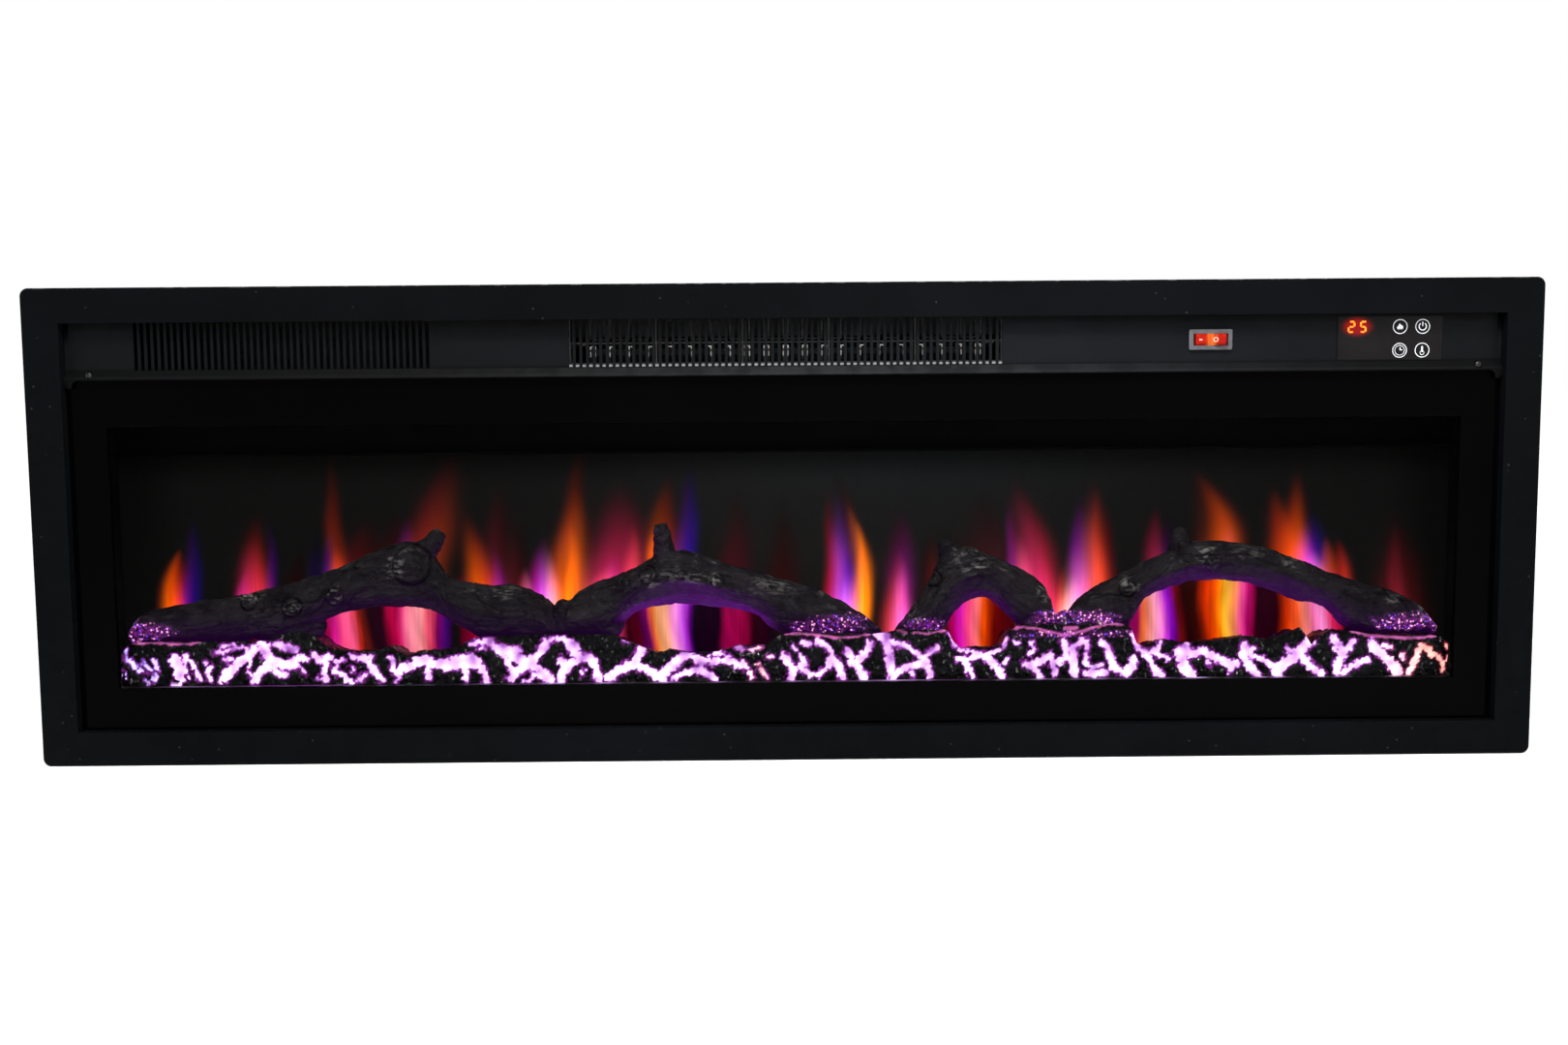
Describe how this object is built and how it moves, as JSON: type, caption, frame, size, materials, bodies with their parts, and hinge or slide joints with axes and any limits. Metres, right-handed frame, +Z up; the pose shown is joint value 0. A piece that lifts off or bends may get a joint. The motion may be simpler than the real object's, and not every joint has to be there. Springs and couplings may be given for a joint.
{
  "type": "electric fireplace",
  "caption": "Recessed linear electric fireplace: black trim frame, glass front over resin logs and an ember bed, flame screen with flicker rotor, crossflow fan heater and a control strip.",
  "frame": {"origin": "centre of the back panel's rear face", "axes": "+X to the right seen from the front, +Y out of the back into the wall, +Z up"},
  "size_m": [1.28, 0.15, 0.408],
  "materials": {
    "frame_black": "matte",
    "chamber_black": "matte",
    "zinc_sheet": "satin",
    "bright_steel": "satin",
    "mirror_foil": "polished",
    "tinted_glass": "gloss",
    "screen_acrylic": "matte",
    "ember_resin": "satin",
    "log_resin": "matte",
    "led_board": "satin",
    "black_plastic": "satin",
    "rubber_sleeve": "matte",
    "motor_iron": "satin",
    "copper_winding": "satin",
    "mica": "matte",
    "heating_wire": "satin",
    "white_plastic": "gloss",
    "red_lens": "gloss",
    "film_black": "satin",
    "circuit_board": "satin",
    "relay_blue": "satin",
    "terminal_green": "satin",
    "display_lens": "gloss"
  },
  "bodies": {
    "casing": {"back_panel": "frame_black", "base_pan": "frame_black", "blower_bearing": "black_plastic", "blower_housing": "zinc_sheet", "cable_gland": "black_plastic", "control_board": "circuit_board", "control_fascia": "frame_black", "digit_display": "display_lens", "display_board": "circuit_board", "ember_bed": "ember_resin", "ember_led_strip": "led_board", "ember_tray": "zinc_sheet", "fascia_screw_left": "bright_steel", "fascia_screw_right": "bright_steel", "flame_led_bracket": "zinc_sheet", "flame_led_strip": "led_board", "flame_screen": "screen_acrylic", "flame_valance": "chamber_black", "flicker_end_bracket": "zinc_sheet", "flicker_motor": "bright_steel", "flicker_motor_bracket": "zinc_sheet", "front_glass": "tinted_glass", "glass_rail": "zinc_sheet", "heater_bay_shelf": "zinc_sheet", "heater_frame": "mica", "heater_relay_high": "relay_blue", "heater_relay_low": "relay_blue", "heating_element_lower": "heating_wire", "heating_element_upper": "heating_wire", "left_chamber_wall": "chamber_black", "left_side_panel": "frame_black", "log_1": "log_resin", "log_2": "log_resin", "log_3": "log_resin", "log_4": "log_resin", "motor_coil": "copper_winding", "motor_core": "motor_iron", "motor_inner_bracket": "zinc_sheet", "motor_outer_bracket": "zinc_sheet", "right_chamber_wall": "chamber_black", "right_side_panel": "frame_black", "switch_body": "white_plastic", "terminal_block": "terminal_green", "thermal_cutout": "black_plastic", "top_cover": "frame_black", "touch_film": "film_black", "transformer": "motor_iron", "trim_frame": "frame_black"},
    "blower": {"blower_impeller": "chamber_black", "impeller_pin": "bright_steel", "motor_shaft": "bright_steel", "motor_rotor": "bright_steel"},
    "flicker": {"flicker_rotor": "mirror_foil", "flicker_coupling": "rubber_sleeve", "flicker_motor_shaft": "bright_steel"},
    "rocker": {"rocker_paddle": "red_lens"}
  },
  "joints": [
    {"name": "blower_spin", "type": "hinge", "parent": "casing", "child": "blower", "pos_m": [0.001, -0.08, 0.1541], "axis": [1, 0, 0], "continuous": true},
    {"name": "flicker_spin", "type": "hinge", "parent": "casing", "child": "flicker", "pos_m": [0, -0.032, -0.1], "axis": [1, 0, 0], "continuous": true},
    {"name": "rocker_tilt", "type": "hinge", "parent": "casing", "child": "rocker", "pos_m": [0.361, -0.136, 0.1537], "axis": [0, 0, 1], "range_deg": [0, 18]}
  ]
}
